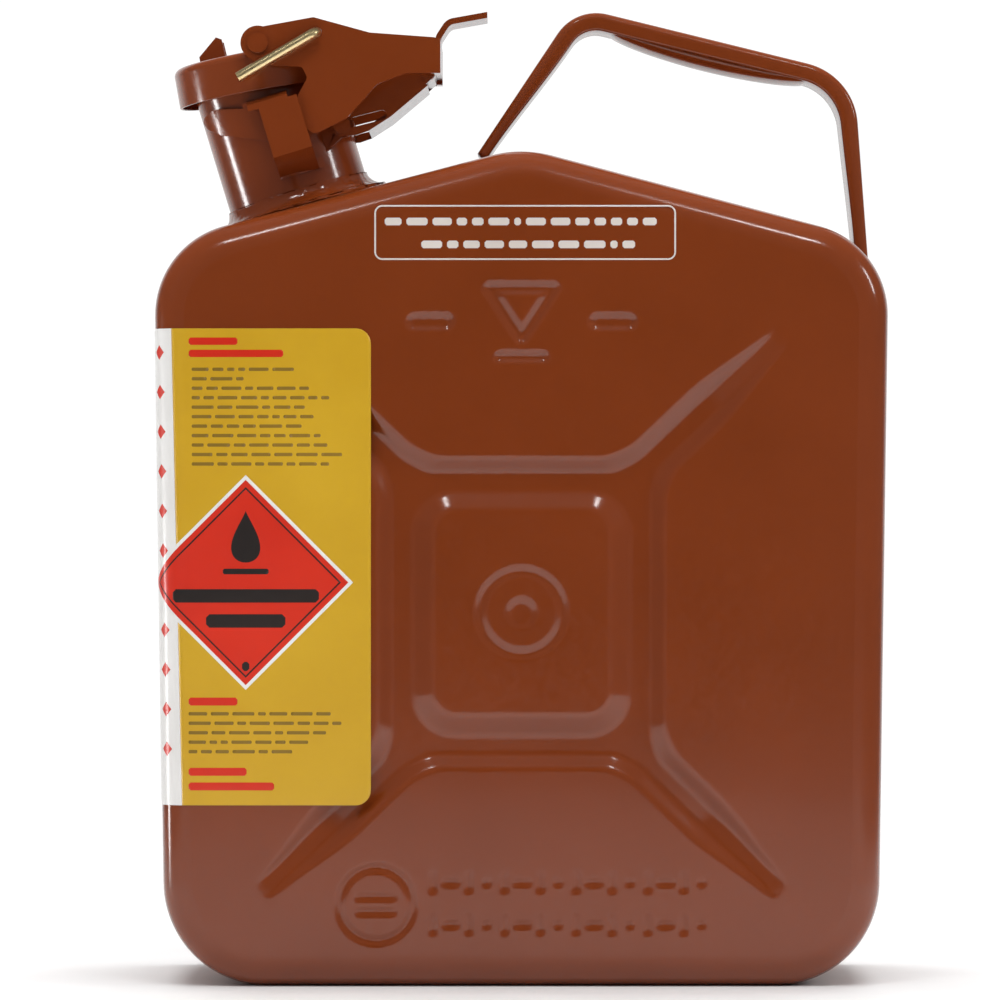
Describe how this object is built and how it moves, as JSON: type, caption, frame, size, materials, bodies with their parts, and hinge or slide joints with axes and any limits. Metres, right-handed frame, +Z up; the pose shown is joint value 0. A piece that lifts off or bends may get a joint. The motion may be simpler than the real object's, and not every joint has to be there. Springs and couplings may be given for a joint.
{
  "type": "safety gas can",
  "caption": "Pressed steel fuel can with a tilted filler neck, cam-lever closure with locking pin, and a bent strap handle.",
  "frame": {"origin": "centre of the base, on the ground plane, midway between the two faces", "axes": "+Z up, +X from the neck towards the far end of the handle, -Y out of the front face that carries the label"},
  "size_m": [0.2452, 0.1022, 0.3226],
  "materials": {
    "paint": "gloss brown baked enamel with a faint orange peel",
    "painted_rivet": "gloss brown enamel over steel rivets",
    "plated_steel": "bright zinc plated",
    "yellow_zinc": "yellow passivated zinc plate",
    "rubber": "matt black fuel resistant rubber",
    "label": "glossy printed vinyl film"
  },
  "bodies": {
    "can": {"front_shell": "paint", "rear_shell": "paint", "seam_weld": "paint", "neck": "paint", "neck_collar": "paint", "breather_tube": "plated_steel", "bracket_front": "paint", "bracket_rear": "paint", "hinge_lugs": "paint", "hinge_studs": "painted_rivet", "handle": "paint", "grip_liner": "paint", "label": "label"},
    "link": {"hinge_link": "paint", "link_pin": "painted_rivet"},
    "lever": {"lever": "paint", "lid_rivets": "painted_rivet"},
    "locking_pin": {"locking_pin": "yellow_zinc"},
    "lid": {"lid": "paint", "lid_saddle": "paint", "gasket": "rubber", "gasket_retainer": "plated_steel", "retainer_rivet": "painted_rivet"}
  },
  "joints": [
    {"name": "link_swing", "type": "hinge", "parent": "can", "child": "link", "pos_m": [-0.05976, 0, 0.2842], "axis": [0, 1, 0], "range_deg": [-12, 0]},
    {"name": "lever_lift", "type": "hinge", "parent": "link", "child": "lever", "pos_m": [-0.03154, 0, 0.30196], "axis": [0, 1, 0], "range_deg": [0, 75]},
    {"name": "lid_tilt", "type": "hinge", "parent": "lever", "child": "lid", "pos_m": [-0.08724, 0, 0.31076], "axis": [0, 1, 0], "range_deg": [0, 8]},
    {"name": "pin_swing", "type": "hinge", "parent": "lever", "child": "locking_pin", "pos_m": [-0.06784, 0, 0.31426], "axis": [0, 1, 0], "range_deg": [0, 90]}
  ],
  "couplings": [
    {"joint": "link_swing", "follows": "lever_lift", "ratio": -0.15},
    {"joint": "lid_tilt", "follows": "lever_lift", "ratio": 0.1}
  ]
}
